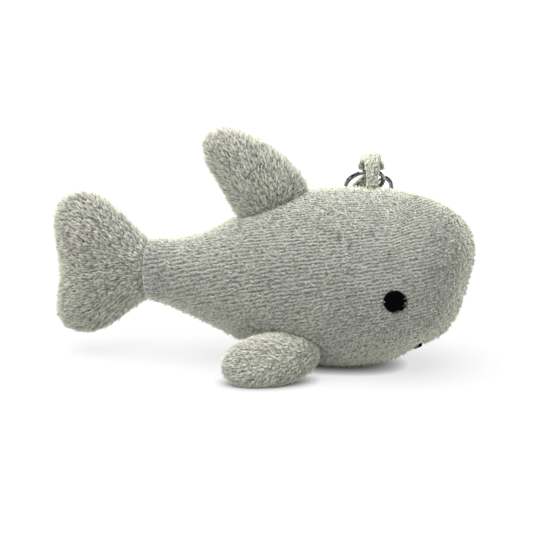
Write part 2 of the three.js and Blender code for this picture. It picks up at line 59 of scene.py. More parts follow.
# The shark, in millimetres: the knit's rows run round the head beyond HEAD_CORE_X
FORM_VOXEL = 0.55
HEAD_CORE_X = 39.0
BODY_AXIS_Z = 25.3
EYE_PLACE = (39.5, 23.9)
EYE_RADIUS = 3.05
MOUTH_CENTRE_X = 53
MOUTH_RADIUS = 9
MOUTH_HALF_SPAN = 5.2

# The cloth, in millimetres: the rows climb by ROW_CLIMB to each millimetre ahead, less on the back by ROW_FAN
ROW_PITCH = 1.2
LOOP_PITCH = 0.8
ROW_CLIMB = 0.26
ROW_FAN = 0.006
FIN_LOOP_PITCH = 0.7
PILE_LIFT = 0.25
FILLING_SWELL = 0.8
BODY_PILE_DEPTH = 0.38
FIN_PILE_DEPTH = 0.4
# How far the nap falls below 0 in the creases where a fin is sewn on, which colours them with painted shade.
PAINTED_CREASE_SHADE = 0.3
BODY_FUZZ_CLUMPS = 16400
FIN_FUZZ_CLUMPS = 3600
ABOVE_TABLE = 0.02

# The ring's wire where it lies on the loop, in millimetres, and the way that it runs there
RING_PIVOT = (29.5, 4.5, 54.6)
RING_WIRE_WAY = (0.9135, 0.4067, 0)


def pile_kind(strands, length, width, spread, rise, stray, curl, shade):
    """How one kind of pile grows, in millimetres.

    Spread is how far apart the roots of one clump stand, rise how steeply a strand leaves the cloth, stray and
    curl how far a clump and its strands wander sideways, and shade the range of a clump's own tone.
    """
    return {"strands": strands, "length": length, "width": width, "spread": spread,
            "rise": rise, "stray": stray, "curl": curl, "shade": shade}


ROW_PILE = pile_kind(5, 0.85, 0.22, 0.14, 0.5, 0.42, 0.2, (0.0, 0.9))
FIN_PILE = pile_kind(6, 1.4, 0.23, 0.17, 0.42, 0.18, 0.1, (0.2, 1.0))
FUZZ_PILE = pile_kind(3, 1.1, 0.16, 0.14, 1.6, 0.7, 0.25, (0.3, 0.85))
RIM_PILE = pile_kind(2, 0.5, 0.22, 0.1, 0.5, 0.5, 0.3, (0.3, 0.75))
TAPE_PILE = pile_kind(4, 0.55, 0.2, 0.16, 0.7, 0.9, 0.3, (0.35, 1.0))


# Materials


def new_material(name):
    """A new material, with its nodes, its links and its main shader."""
    material = bpy.data.materials.new(name)
    material.use_nodes = True
    nodes = material.node_tree.nodes
    return material, nodes, material.node_tree.links, nodes["Principled BSDF"]


def add_node(nodes, kind, settings=None, inputs=None):
    """A new node with some of its settings and of its unlinked inputs filled in."""
    node = nodes.new(kind)
    for key, value in (settings or {}).items():
        setattr(node, key, value)
    for key, value in (inputs or {}).items():
        node.inputs[key].default_value = value
    return node


def ramp(nodes, stops):
    """A colour ramp through pairs of position and colour."""
    node = nodes.new("ShaderNodeValToRGB")
    elements = node.color_ramp.elements
    while len(elements) < len(stops):
        elements.new(0.5)
    for element, (position, color) in zip(elements, stops):
        element.position = position
        element.color = (*color, 1)
    return node


def srgb(*values):
    """A screen colour, from 0 to 255, as the linear colour that a shader takes."""
    shares = [value / 255 for value in values]
    return tuple(s / 12.92 if s <= 0.04045 else ((s + 0.055) / 1.055) ** 2.4 for s in shares)


def plush_material(name, valley, middle, crest, fleck=0.12, painted_sheen_share=0.45):
    """Looped pile: dark between the loops and pale on their crests, as painted shade and light on their relief,
    and paler where it is seen edge on, as a painted sheen.

    The nap attribute is below 0 in the creases where a fin is sewn on, which take the darkest painted shade,
    and the painted sheen stays out of them.
    """
    material, nodes, links, shader = new_material(name)
    nap = add_node(nodes, "ShaderNodeAttribute", {"attribute_name": "nap"})
    coordinates = add_node(nodes, "ShaderNodeTexCoord")
    fibre = add_node(nodes, "ShaderNodeTexNoise", inputs={"Scale": 2600, "Detail": 3, "Roughness": 0.6})
    blotch = add_node(nodes, "ShaderNodeTexNoise", inputs={"Scale": 90, "Detail": 2})
    links.new(coordinates.outputs["Object"], fibre.inputs["Vector"])
    links.new(coordinates.outputs["Object"], blotch.inputs["Vector"])
    spread = add_node(nodes, "ShaderNodeMath", {"operation": "MULTIPLY_ADD"}, {1: fleck * 2, 2: -fleck})
    links.new(fibre.outputs["Fac"], spread.inputs[0])
    drift = add_node(nodes, "ShaderNodeMath", {"operation": "MULTIPLY_ADD"}, {1: 0.1, 2: -0.05})
    links.new(blotch.outputs["Fac"], drift.inputs[0])
    height = add_node(nodes, "ShaderNodeMath", {"operation": "ADD"})
    links.new(nap.outputs["Fac"], height.inputs[0])
    links.new(spread.outputs[0], height.inputs[1])
    total = add_node(nodes, "ShaderNodeMath", {"operation": "ADD"})
    links.new(height.outputs[0], total.inputs[0])
    links.new(drift.outputs[0], total.inputs[1])
    # The ramp paints shade between the loops and light on their crests, and its darkest stop is painted crease
    # shade.
    colors = ramp(nodes, [(0.0, DARKEST_PAINTED_SHADE), (0.1, valley), (0.5, middle), (0.95, crest)])
    links.new(total.outputs[0], colors.inputs["Fac"])
    # Painted sheen: Layer Weight mixes the colour towards a pale tint where the cloth is seen edge on.
    facing = add_node(nodes, "ShaderNodeLayerWeight", inputs={"Blend": 0.5})
    painted_sheen = add_node(nodes, "ShaderNodeMapRange", {"interpolation_type": "SMOOTHSTEP"},
                      {"From Min": 0.3, "From Max": 0.8, "To Min": 0, "To Max": painted_sheen_share})
    links.new(facing.outputs["Facing"], painted_sheen.inputs["Value"])
    raised = add_node(nodes, "ShaderNodeMapRange", inputs={"From Min": -0.2, "From Max": 0})
    links.new(nap.outputs["Fac"], raised.inputs["Value"])
    links.new(raised.outputs["Result"], shader.inputs["Sheen Weight"])
    # The painted sheen, kept out of the creases.
    rim = add_node(nodes, "ShaderNodeMath", {"operation": "MULTIPLY"})
    links.new(painted_sheen.outputs["Result"], rim.inputs[0])
    links.new(raised.outputs["Result"], rim.inputs[1])
    painted_sheen_color = add_node(nodes, "ShaderNodeMixRGB", inputs={"Color2": (*PAINTED_SHEEN_TINT, 1)})
    links.new(rim.outputs[0], painted_sheen_color.inputs["Fac"])
    links.new(colors.outputs["Color"], painted_sheen_color.inputs["Color1"])
    links.new(painted_sheen_color.outputs["Color"], shader.inputs["Base Color"])
    bump = add_node(nodes, "ShaderNodeBump", inputs={"Strength": 0.5, "Distance": 0.00025})
    links.new(fibre.outputs["Fac"], bump.inputs["Height"])
    links.new(bump.outputs["Normal"], shader.inputs["Normal"])
    shader.inputs["Roughness"].default_value = 0.95
    shader.inputs["Specular IOR Level"].default_value = 0.12
    shader.inputs["Sheen Roughness"].default_value = 0.4
    shader.inputs["Sheen Tint"].default_value = (1, 1, 0.82, 1)
    return material


def thread_material():
    """Black satin stitches that lie side by side."""
    material, nodes, links, shader = new_material("black embroidery thread")
    coordinates = add_node(nodes, "ShaderNodeTexCoord")
    stitches = add_node(nodes, "ShaderNodeTexWave", {"wave_type": "BANDS", "bands_direction": "X"},
                        {"Scale": 620, "Distortion": 1.2, "Detail": 2, "Detail Scale": 1.5})
    links.new(coordinates.outputs["Object"], stitches.inputs["Vector"])
    colors = ramp(nodes, [(0.1, (0.0003, 0.0003, 0.0006)), (0.9, (0.002, 0.0022, 0.0032))])
    links.new(stitches.outputs["Fac"], colors.inputs["Fac"])
    links.new(colors.outputs["Color"], shader.inputs["Base Color"])
    bump = add_node(nodes, "ShaderNodeBump", inputs={"Strength": 0.6, "Distance": 0.0002})
    links.new(stitches.outputs["Fac"], bump.inputs["Height"])
    links.new(bump.outputs["Normal"], shader.inputs["Normal"])
    shader.inputs["Roughness"].default_value = 0.7
    shader.inputs["Specular IOR Level"].default_value = 0.02
    return material


def metal_material():
    """Polished dark nickel wire with faint drawing marks."""
    material, nodes, links, shader = new_material("dark nickel wire")
    coordinates = add_node(nodes, "ShaderNodeTexCoord")
    marks = add_node(nodes, "ShaderNodeTexNoise", inputs={"Scale": 1500, "Detail": 4, "Roughness": 0.7})
    links.new(coordinates.outputs["Object"], marks.inputs["Vector"])
    tone = ramp(nodes, [(0.3, (0.26, 0.26, 0.275)), (0.7, (0.4, 0.4, 0.42))])
    links.new(marks.outputs["Fac"], tone.inputs["Fac"])
    links.new(tone.outputs["Color"], shader.inputs["Base Color"])
    dull = add_node(nodes, "ShaderNodeMapRange", inputs={"To Min": 0.03, "To Max": 0.09})
    links.new(marks.outputs["Fac"], dull.inputs["Value"])
    links.new(dull.outputs["Result"], shader.inputs["Roughness"])
    bump = add_node(nodes, "ShaderNodeBump", inputs={"Strength": 0.08, "Distance": 0.0001})
    links.new(marks.outputs["Fac"], bump.inputs["Height"])
    links.new(bump.outputs["Normal"], shader.inputs["Normal"])
    shader.inputs["Metallic"].default_value = 1
    return material


# The darkest plush colour: painted shade for the creases and the deepest strand roots.
DARKEST_PAINTED_SHADE = srgb(52, 52, 54)
# The pale tint that the painted sheen mixes into the plush colour.
PAINTED_SHEEN_TINT = srgb(244, 246, 226)
CLOTH = plush_material("grey looped plush", srgb(78, 78, 80), srgb(128, 128, 125), srgb(180, 180, 168))
TAPE_CLOTH = plush_material(
    "pale knitted tape", srgb(104, 104, 104), srgb(166, 166, 156), srgb(220, 221, 204))
TUFTS = plush_material(
    "grey pile tufts", srgb(92, 92, 93), srgb(170, 170, 161), srgb(232, 232, 214), fleck=0.1)
FUZZ = plush_material(
    "pale pile ends", srgb(150, 150, 146), srgb(188, 189, 177), srgb(226, 227, 209), fleck=0.1, painted_sheen_share=0.9)
TAPE_ENDS = plush_material(
    "pale tape ends", srgb(186, 188, 168), srgb(216, 219, 196), srgb(238, 241, 220), fleck=0.1)
THREAD = thread_material()
METAL = metal_material()


# Forms


def points_of(mesh):
    flat = np.empty(len(mesh.vertices) * 3)
    mesh.vertices.foreach_get("co", flat)
    return flat.reshape(-1, 3)


def normals_of(mesh):
    flat = np.empty(len(mesh.vertices) * 3)
    mesh.vertices.foreach_get("normal", flat)
    return flat.reshape(-1, 3)


def edges_of(mesh):
    flat = np.empty(len(mesh.edges) * 2, dtype=np.int64)
    mesh.edges.foreach_get("vertices", flat)
    return flat.reshape(-1, 2)


def set_points(mesh, points):
    mesh.vertices.foreach_set("co", np.ascontiguousarray(points, dtype=np.float32).ravel())
    mesh.update()


def smooth_and_paint(mesh, material):
    """The mesh is shaded smooth and wears this one material."""
    mesh.materials.clear()
    mesh.materials.append(material)
    mesh.polygons.foreach_set("use_smooth", np.ones(len(mesh.polygons), dtype=bool))


def show(name, mesh, material):
    """A new piece of the scene."""
    piece = bpy.data.objects.new(name, mesh)
    bpy.context.scene.collection.objects.link(piece)
    smooth_and_paint(mesh, material)
    return piece


def applied(piece):
    """The piece's mesh with its modifiers worked in, in place of the old one."""
    deps = bpy.context.evaluated_depsgraph_get()
    mesh = bpy.data.meshes.new_from_object(piece.evaluated_get(deps))
    piece.modifiers.clear()
    piece.data = mesh
    return mesh


def relax(points, edges, rounds):
    """Each point moves halfway to the middle of its neighbours, this many times."""
    count = np.bincount(edges.ravel(), minlength=len(points))[:, None]
    for _ in range(rounds):
        total = np.stack([
            np.bincount(edges[:, 0], points[edges[:, 1], axis], len(points))
            + np.bincount(edges[:, 1], points[edges[:, 0], axis], len(points))
            for axis in range(3)
        ], axis=1)
        points = 0.5 * (points + total / count)
    return points


def rounded(points, edges, rounds):
    """Relaxed points, with the shape that the relaxing took away given back without its facets."""
    soft = relax(points, edges, rounds)
    return soft + relax(points - soft, edges, rounds)


def stuffed_form(name, panels, stuffing, material, voxel, rounds):
    """One closed skin over the sewn panels and their stuffing, with the facets smoothed away.

    The stuffing is swollen a little, within the panels' box, so that no hollow is left between them.
    """
    low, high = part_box(panels[0])
    for panel in panels[1:]:
        other_low, other_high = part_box(panel)
        low = Vector([min(a, b) for a, b in zip(low, other_low)])
        high = Vector([max(a, b) for a, b in zip(high, other_high)])
    bm = bmesh.new()
    for node in panels:
        bm.from_mesh(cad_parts[node].data)
    if stuffing:
        filling = bmesh.new()
        filling.from_mesh(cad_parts[stuffing].data)
        bmesh.ops.remove_doubles(filling, verts=filling.verts, dist=SAME_POINT)
        filling.normal_update()
        for vert in filling.verts:
            swollen = vert.co + vert.normal * FILLING_SWELL * MM
            vert.co = [min(max(value, a), b) for value, a, b in zip(swollen, low, high)]
        swollen_mesh = bpy.data.meshes.new("swollen filling")
        filling.to_mesh(swollen_mesh)
        filling.free()
        bm.from_mesh(swollen_mesh)
        bpy.data.meshes.remove(swollen_mesh)
    bmesh.ops.remove_doubles(bm, verts=bm.verts, dist=SAME_POINT)
    mesh = bpy.data.meshes.new(name)
    bm.to_mesh(mesh)
    bm.free()
    piece = show(name, mesh, material)
    remesh = piece.modifiers.new("one skin", "REMESH")
    remesh.mode = "VOXEL"
    remesh.voxel_size = voxel * MM
    mesh = applied(piece)
    keep_largest_island(mesh)
    set_points(mesh, rounded(points_of(mesh), edges_of(mesh), rounds))
    fine = piece.modifiers.new("finer", "SUBSURF")
    fine.levels = fine.render_levels = 1
    smooth_and_paint(applied(piece), material)
    return piece


def keep_largest_island(mesh):
    """The remesh leaves small closed bubbles inside the skin, which come out."""
    bm = bmesh.new()
    bm.from_mesh(mesh)
    unseen = set(bm.verts)
    islands = []
    while unseen:
        start = unseen.pop()
        island, front = [start], [start]
        while front:
            vert = front.pop()
            for edge in vert.link_edges:
                other = edge.other_vert(vert)
                if other in unseen:
                    unseen.discard(other)
                    island.append(other)
                    front.append(other)
        islands.append(island)
    islands.sort(key=len)
    spare = [vert for island in islands[:-1] for vert in island]
    bmesh.ops.delete(bm, geom=spare, context="VERTS")
    bmesh.ops.recalc_face_normals(bm, faces=bm.faces)
    bm.to_mesh(mesh)
    bm.free()


# Pile


def scatter(cells, salt):
    """A repeatable random number from 0 to 1 for each row of whole numbers."""
    weights = np.array([127.1, 311.7, 74.7])[: cells.shape[1]]
    raw = np.sin(cells @ weights + salt * 19.19) * 43758.5453
    return raw - np.floor(raw)


def swell(places, salt):
    """Smooth random values from -1 to 1 that change over about one unit."""
    base = np.floor(places)
    share = places - base
    share = share * share * (3 - 2 * share)
    total = np.zeros(len(places))
    for corner in itertools.product((0, 1), repeat=places.shape[1]):
        weight = np.ones(len(places))
        for axis, step in enumerate(corner):
            weight *= share[:, axis] if step else 1 - share[:, axis]
        total += weight * scatter(base + np.array(corner), salt)
    return total * 2 - 1


def loops(places, jitter, salt):
    """Height from 0 to 1 of loops, one to each cell of the fabric's own grid, each a little different."""
    base = np.floor(places)
    nearest = np.full(len(places), 9.0)
    second = np.full(len(places), 9.0)
    height = np.zeros(len(places))
    for step in itertools.product((-1, 0, 1), repeat=places.shape[1]):
        cell = base + np.array(step)
        middle = np.stack([
            cell[:, axis] + 0.5 + jitter[axis] * (scatter(cell, salt + axis) - 0.5)
            for axis in range(places.shape[1])
        ], axis=1)
        gap = np.sqrt(((places - middle) ** 2).sum(axis=1))
        closer = gap < nearest
        second = np.where(closer, nearest, np.minimum(second, gap))
        height = np.where(closer, scatter(cell, salt + 7), height)
        nearest = np.where(closer, gap, nearest)
    crease = np.clip((second - nearest) / 0.45, 0, 1)
    dome = np.clip(1 - (nearest / 0.85) ** 2, 0, 1)
    return (0.45 * crease + 0.55 * dome) * (0.7 + 0.3 * height)


def smoothstep(low, high, value):
    share = np.clip((value - low) / (high - low), 0, 1)
    return share * share * (3 - 2 * share)


def nap_to(mesh, nap):
    """Writes the height of the loops at each vertex where the materials read it."""
    attribute = mesh.attributes.get("nap") or mesh.attributes.new("nap", "FLOAT", "POINT")
    attribute.data.foreach_set("value", nap.astype(np.float32))


def off_table(points):
    """Pile that would reach below the table lies on it."""
    return np.maximum(points, np.array([-np.inf, -np.inf, ABOVE_TABLE * MM]))


def raise_pile(piece, nap, depth, lift):
    """The skin rises along its normals by lift, and by depth where the nap is highest.

    It rises less near the table, where the shark's weight presses the pile.
    """
    mesh = piece.data
    places = points_of(mesh)
    pressed = 0.25 + 0.75 * smoothstep(0, 3.5, places[:, 2] / MM)
    rise = ((lift + depth * nap) * pressed)[:, None] * MM
    set_points(mesh, off_table(places + normals_of(mesh) * rise))
    nap_to(mesh, nap)


def tree_of(skins):
    """The points of some skins, ready to be asked for the nearest."""
    tree = KDTree(sum(len(skin.data.vertices) for skin in skins))
    for skin in skins:
        for vert in skin.data.vertices:
            tree.insert(vert.co, vert.index)
    tree.balance()
    return tree


def tucked(points, tree, reach):
    """1 where a place in millimetres lies against the skins of the tree, and 0 a few times the reach away."""
    gaps = np.array([tree.find(Vector(point))[2] for point in points * MM]) / MM
    return np.exp(-((gaps / reach) ** 2))


def sewn_down(points, tree, reach):
    """Places in millimetres, drawn to the skins of the tree where they are near, as a seam draws cloth."""
    nearest = [tree.find(Vector(point)) for point in points * MM]
    gap = np.array([found[0] for found in nearest]) / MM - points
    share = 0.85 * np.exp(-((gap ** 2).sum(axis=1) / reach ** 2))
    return points + gap * share[:, None]


def skin_spots(mesh, count, rng):
    """Evenly scattered places on a skin, with its outward direction at each."""
    mesh.calc_loop_triangles()
    corners = np.empty(len(mesh.loop_triangles) * 3, dtype=np.int64)
    mesh.loop_triangles.foreach_get("vertices", corners)
    corners = corners.reshape(-1, 3)
    places, normals = points_of(mesh), normals_of(mesh)
    a, b, c = (places[corners[:, k]] for k in range(3))
    area = np.linalg.norm(np.cross(b - a, c - a), axis=1)
    chosen = rng.choice(len(corners), size=count, p=area / area.sum())
    shares = rng.dirichlet((1, 1, 1), size=count)
    roots = sum(shares[:, k, None] * places[corners[chosen, k]] for k in range(3))
    normal = sum(shares[:, k, None] * normals[corners[chosen, k]] for k in range(3))
    return roots, normal / np.linalg.norm(normal, axis=1, keepdims=True)


def unit(rows):
    """Rows of directions, each of length 1."""
    return rows / (np.linalg.norm(rows, axis=1, keepdims=True) + 1e-9)


def one_in_each(cells, rng):
    """The places of one row of whole numbers out of each set of equal ones, picked at random."""
    order = rng.permutation(len(cells))
    return order[np.unique(cells[order], axis=0, return_index=True)[1]]


def even_spots(skin, count, pitch, rng):
    """Places on a skin about one pitch apart."""
    roots, normal = skin_spots(skin.data, count, rng)
    picked = one_in_each(np.floor(roots / MM / pitch), rng)
    return roots[picked], normal[picked]


def grow(name, roots, normal, nap, pile, rng, material):
    """Clumps of strands, each a thin pointed one with four faces that lies along the nap to its clump's tip.

    The strands are lit partly as the cloth that they cover, as a dense pile is, and their colour is darker at
    their roots, as painted shade, and a little paler at their tips, as painted light.
    """
    strands = pile["strands"]
    clumps = len(roots)
    heading = unit(nap + np.cross(normal, nap) * rng.normal(size=(clumps, 1)) * pile["stray"])
    rise = rng.uniform(0.6, 1.4, size=(clumps, 1)) * pile["rise"]
    reach = rng.uniform(0.7, 1.25, size=(clumps, 1)) * pile["length"] * MM
    shade = rng.uniform(*pile["shade"], size=(clumps, 1))
    roots, normal, heading, rise, reach, shade = (
        np.repeat(values, strands, axis=0) for values in (roots, normal, heading, rise, reach, shade))
    count = len(roots)
    sideways = np.cross(normal, heading)
    apart = (sideways * rng.uniform(-1, 1, size=(count, 1))
             + heading * rng.uniform(-1, 1, size=(count, 1))) * pile["spread"] * MM
    along = unit(heading + sideways * rng.normal(size=(count, 1)) * pile["curl"] + normal * rise)
    start = roots + apart - normal * 0.12 * MM
    tip = start + along * reach * rng.uniform(0.8, 1.15, size=(count, 1)) - apart * 0.7
    across = unit(np.cross(along, normal))
    upward = np.cross(across, along)
    half = rng.uniform(0.75, 1.25, size=(count, 1)) * pile["width"] * MM / 2
    turns = np.radians((90, 210, 330))
    outward = [across * math.cos(turn) + upward * math.sin(turn) for turn in turns]
    rows = np.stack([start + side * half for side in outward] + [tip], axis=1)
    lit = np.stack([unit(side * 0.85 + normal) for side in outward] + [unit(along * 0.4 + normal)], axis=1)
    leaves = bpy.data.meshes.new(name)
    leaves.vertices.add(count * 4)
    leaves.vertices.foreach_set("co", off_table(rows).astype(np.float32).ravel())
    sides = np.array([[1, 0, 3, 2, 1, 3, 0, 2, 3, 0, 1, 2]])
    faces = ((np.arange(count) * 4)[:, None] + sides).ravel()
    leaves.loops.add(len(faces))
    leaves.loops.foreach_set("vertex_index", faces.astype(np.int32))
    leaves.polygons.add(len(faces) // 3)
    leaves.polygons.foreach_set("loop_start", np.arange(0, len(faces), 3, dtype=np.int32))
    leaves.update(calc_edges=True)
    # Painted shade at the three root corners and painted light at the tip.
    tone = shade + rng.normal(size=(count, 1)) * 0.1 + np.array([[-0.4, -0.4, -0.4, 0.2]])
    nap_to(leaves, np.clip(tone, 0, 1).ravel())
    piece = show(name, leaves, material)
    leaves.normals_split_custom_set_from_vertices(lit.reshape(-1, 3).tolist())
    return piece


# Body


def section_of(points):
    """Half height and half width of the body where each point stands, from the skin itself."""
    count = 40
    stations = np.linspace(points[:, 0].min(), HEAD_CORE_X, count)
    slot = np.clip(np.digitize(points[:, 0], stations) - 1, 0, count - 1)
    tall, wide = np.zeros(count), np.zeros(count)
    np.maximum.at(tall, slot, np.abs(points[:, 2] - BODY_AXIS_Z))
    np.maximum.at(wide, slot, np.abs(points[:, 1]))
    tall[-1] = tall[-2]
    wide[-1] = wide[-2]
    middle = (stations + np.roll(stations, -1)) / 2
    middle[-1] = HEAD_CORE_X
    return np.interp(points[:, 0], middle, tall), np.interp(points[:, 0], middle, wide)


def body_fabric(points):
    """Places in the knit: along a row, and across the rows, which climb a little towards the nose.

    The rows follow the angle round the body's middle line, and on the head they lie level instead. The left
    panel takes another stretch of the same fabric than the right one.
    """
    tall, wide = section_of(points)
    above = points[:, 2] - BODY_AXIS_Z
    ahead = np.maximum(points[:, 0] - HEAD_CORE_X, 0)
    round_head = np.hypot(ahead, points[:, 1])
    turn = np.arctan2(above, round_head * tall / wide + 1e-6)
    level = np.arcsin(np.clip(above / (tall * 1.03), -1, 1))
    turn += (level - turn) * smoothstep(-3, 5, points[:, 0] - HEAD_CORE_X)
    girth = turn * tall
    round_nose = np.arctan2(ahead, np.abs(points[:, 1]) + 1e-6) * round_head
    along = np.minimum(points[:, 0], HEAD_CORE_X) + round_nose
    across = girth - along * (ROW_CLIMB - ROW_FAN * girth)
    left_start = 61.0
    return np.stack([along + np.where(points[:, 1] > 0, left_start, 0.0), across], axis=1)


def face_area(points, margin):
    """True near an eye, on the mouth's line and a little past its corners, where stitches hold the pile down."""
    x, y, z = points.T
    eye = np.hypot(x - EYE_PLACE[0], z - EYE_PLACE[1]) < EYE_RADIUS + margin
    eye &= np.abs(y) > 10
    on_line = np.abs(np.hypot(x - MOUTH_CENTRE_X, y) - MOUTH_RADIUS) < 0.7 + margin
    mouth = on_line & (x < 47.5) & (np.abs(y) < MOUTH_HALF_SPAN + margin) & (z < 12)
    out = np.abs(y) - MOUTH_HALF_SPAN
    corner = (out > 0) & (out < 4.1 + margin) & (np.abs(x - 46.3 + 0.25 * out) < 1.1 + margin) & (z < 13)
    return eye | mouth | corner


def row_lay(points, normal):
    """The nap of the body lies back along its rows, and round the nose at the head's front."""
    ahead = np.maximum(points[:, 0] - HEAD_CORE_X, 0)
    sideways = np.where(points[:, 1] > 0, 1, -1) * ahead
    round_nose = np.stack([-np.abs(points[:, 1]), sideways, np.zeros(len(points))], axis=1)
    straight = np.tile([-1.0, 0, 0], (len(points), 1))
    lay = unit(np.where(ahead[:, None] > 0, round_nose, straight)) + np.array([0, 0, -ROW_CLIMB])
    return unit(lay - normal * (lay * normal).sum(axis=1)[:, None])


def row_number(fabric):
    """Rows counted round the body, whole on the crest of a row, with the sway of real knitting."""
    sway = swell(fabric / np.array([1.3, 1.2]), 6) * 0.23 + swell(fabric / np.array([7, 4]), 9) * 0.2
    return fabric[:, 1] / ROW_PITCH + sway


def body_nap(points):
    """The height of the body's loops from 0 to 1: knit in rows, and loose pile where the rows are lost."""
    fabric = body_fabric(points)
    rows = 0.5 + 0.5 * np.cos(2 * math.pi * row_number(fabric))
    slant = np.stack([(fabric[:, 0] + 0.5 * fabric[:, 1]) / 1.5, fabric[:, 1] / 0.6], axis=1)
    knit = 0.6 * rows + 0.4 * loops(slant + swell(points / 4, 3)[:, None] * 0.4, (0.9, 0.8), 11)
    loose = loops(points / np.array([1.1, 1.1, 0.7]), (0.9, 0.9, 0.9), 23)
    mixed = row_loss(points)
    return knit * (1 - mixed) + loose * mixed


def row_loss(points):
    """How far the rows give way to loose pile: on the head, the belly and the tail stem, and in patches."""
    front = 0.6 * smoothstep(44, 57, points[:, 0])
    low = 0.5 * smoothstep(22, 9, points[:, 2])
    rear = 0.25 * smoothstep(-18, -31, points[:, 0])
    patches = 0.22 * swell(points / 3, 8)
    head = 0.12 * smoothstep(10, 30, points[:, 0])
    return np.clip(front + head + low + rear + 0.15 + patches, 0, 0.95)


def row_spots(skin, count, rng):
    """A root for each loop of the knit, near its row's crest, and further off where the rows are lost."""
    roots, normal = skin_spots(skin.data, count, rng)
    fabric, loss = body_fabric(roots / MM), row_loss(roots / MM)
    row = row_number(fabric) + rng.normal(size=count) * 0.5 * loss
    level = np.round(row)
    column = np.floor(fabric[:, 0] / LOOP_PITCH + scatter(level[:, None], 5))
    near = np.abs(row - level) < 0.2 + 0.32 * loss
    picked = np.flatnonzero(near)[one_in_each(np.stack([level, column], axis=1)[near], rng)]
    return roots[picked], normal[picked]


def clear_of(roots, normal, shut):
    """The roots and normals without those on places that are shut to the pile."""
    return roots[~shut], normal[~shut]


def dress_body(skin, fin_tree):
    """Knit and pile on the body, lower along its seam and in the creases where the fins are sewn on, and darker
    there, as painted shade.
    """
    points = points_of(skin.data) / MM
    crease = tucked(points, fin_tree, 0.6)
    seam = np.exp(-((points[:, 1] / 0.55) ** 2))
    knit = np.where(face_area(points, 0.1), 0.1, body_nap(points))
    nap = knit * (1 - 0.6 * seam) * (1 - crease) - PAINTED_CREASE_SHADE * crease
    raise_pile(skin, nap, BODY_PILE_DEPTH, (PILE_LIFT - 0.2 * seam) * (1 - crease))
    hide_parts("body_panel_left", "body_panel_right")
    rng = np.random.default_rng(1)
    roots, normal = row_spots(skin, 160000, rng)
    shut = face_area(roots / MM, -0.1) | (tucked(roots / MM, fin_tree, 0.6) > 0.6)
    roots, normal = clear_of(roots, normal, shut)
    piles = []
    for side, own in (("left", roots[:, 1] > 0), ("right", roots[:, 1] <= 0)):
        lay = row_lay(roots[own] / MM, normal[own])
        piles.append(grow(f"body_pile_{side}", roots[own], normal[own], lay, ROW_PILE, rng, TUFTS))
    roots, normal = skin_spots(skin.data, BODY_FUZZ_CLUMPS, rng)
    roots, normal = clear_of(roots, normal, face_area(roots / MM, 0))
    fuzz = grow("body_fuzz", roots, normal, row_lay(roots / MM, normal), FUZZ_PILE, rng, FUZZ)
    for piece in (skin, *piles, fuzz):
        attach(piece, "shark")


# Tail and fins


def fan_lay(centre, points, normal):
    """The nap lies away from the place where a fin is sewn on."""
    out = points - np.array(centre)
    return unit(out - normal * (out * normal).sum(axis=1)[:, None])


def fin_nap(points, centre, salt, length=1.35, width=0.85):
    """Loops stretched away from the fin's root, at any place on it."""
    away = points - np.array(centre)
    out = np.linalg.norm(away, axis=1)
    across = np.arctan2(away[:, 2], away[:, 0]) * 16
    places = np.stack([out / length, across / width, points[:, 1] / width], axis=1)
    shift = swell(points / 5, salt) * 0.6
    return loops(places + shift[:, None], (0.95, 0.8, 0.8), salt)


def dress_fin(name, skin, panels, centre, salt, body_tree):
    """Loops and pile on the tail or a fin, drawn down to the body where it is sewn on."""
    points = points_of(skin.data) / MM
    set_points(skin.data, sewn_down(points, body_tree, 1.3) * MM)
    crease = tucked(points, body_tree, 0.65)
    # The crease's nap falls below 0, which colours it with painted shade.
    nap = fin_nap(points, centre, salt) * (1 - crease) - PAINTED_CREASE_SHADE * crease
    raise_pile(skin, nap, FIN_PILE_DEPTH, (PILE_LIFT - 0.05) * (1 - crease))
    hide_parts(*panels)
    rng = np.random.default_rng(salt)
    roots, normal = even_spots(skin, 30000, FIN_LOOP_PITCH, rng)
    roots, normal = clear_of(roots, normal, tucked(roots / MM, body_tree, 0.65) > 0.6)
    pile = grow(name + "_pile", roots, normal, fan_lay(centre, roots / MM, normal), FIN_PILE, rng, TUFTS)
    roots, normal = skin_spots(skin.data, FIN_FUZZ_CLUMPS, rng)
    fuzz = grow(name + "_fuzz", roots, normal, fan_lay(centre, roots / MM, normal), FUZZ_PILE, rng, FUZZ)
    return skin, pile, fuzz


# The panels of the tail and of each fin, and the place that its nap lies away from, in millimetres
FINS = {
    "tail": (["tail_panel_left", "tail_panel_right"], (-30, 0, 25)),
    "dorsal_fin": (["dorsal_fin_panel_left", "dorsal_fin_panel_right"], (4, 0, 38)),
    "pectoral_fin_left": (["pectoral_fin_left_upper_panel", "pectoral_fin_left_lower_panel"], (20, 12, 11)),
    "pectoral_fin_right": (["pectoral_fin_right_upper_panel", "pectoral_fin_right_lower_panel"], (20, -12, 11)),
}

body_panels = ["body_panel_left", "body_panel_right"]
body = stuffed_form("body_plush", body_panels, "body_stuffing", CLOTH, FORM_VOXEL, 60)
fins = {name: stuffed_form(name + "_plush", panels, name + "_stuffing", CLOTH, FORM_VOXEL * 0.85, 28)
        for name, (panels, _) in FINS.items()}
body_tree = tree_of([body])
dress_body(body, tree_of(fins.values()))
for salt, (name, (panels, centre)) in enumerate(FINS.items(), 31):
    for piece in dress_fin(name, fins[name], panels, centre, salt, body_tree):
        if name.startswith("pectoral"):
            side = name.split("_")[-1]
            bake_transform(piece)
        else:
            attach(piece, "shark")


# Face


